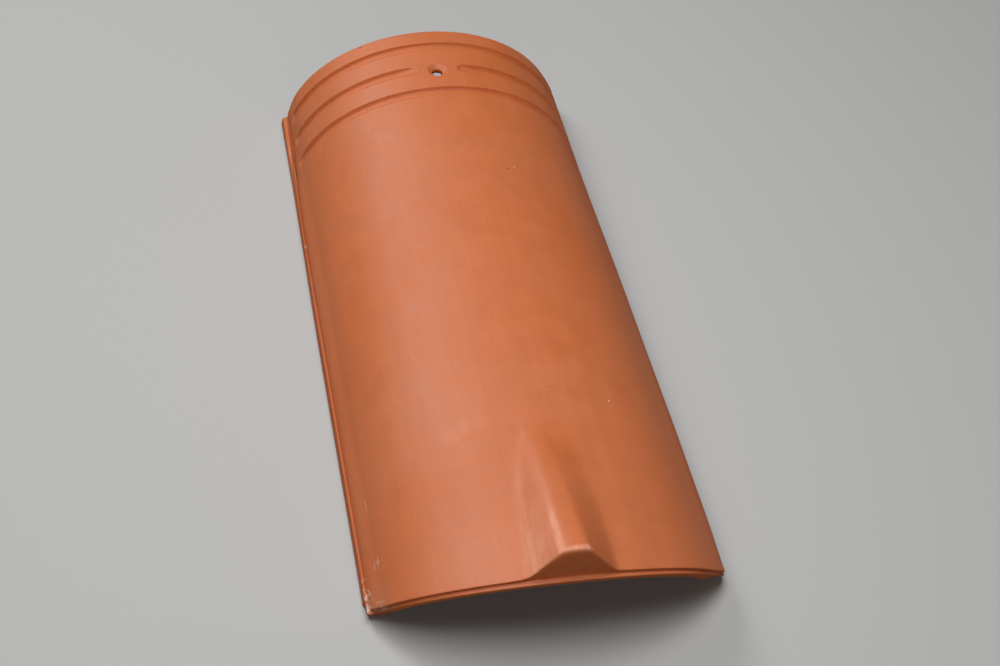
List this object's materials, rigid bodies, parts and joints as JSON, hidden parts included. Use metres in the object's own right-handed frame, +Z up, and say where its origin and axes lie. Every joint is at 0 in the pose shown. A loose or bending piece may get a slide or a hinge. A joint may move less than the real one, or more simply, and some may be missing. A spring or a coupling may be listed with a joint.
{
  "type": "clay roof tile",
  "caption": "Fired clay ridge and hip tile: a tapered half-barrel with a lip and a hump at the wide end, cross grooves and a countersunk nail hole.",
  "frame": {"origin": "middle of the tile's footprint, on the floor it lies on", "axes": "+Y along the barrel from the wide end to the narrow end, +Z up through the crown, +X across"},
  "size_m": [0.2102, 0.45, 0.0876],
  "materials": {
    "clay": "matte"
  },
  "bodies": {
    "root": {"roof_tile": "clay"}
  },
  "joints": []
}
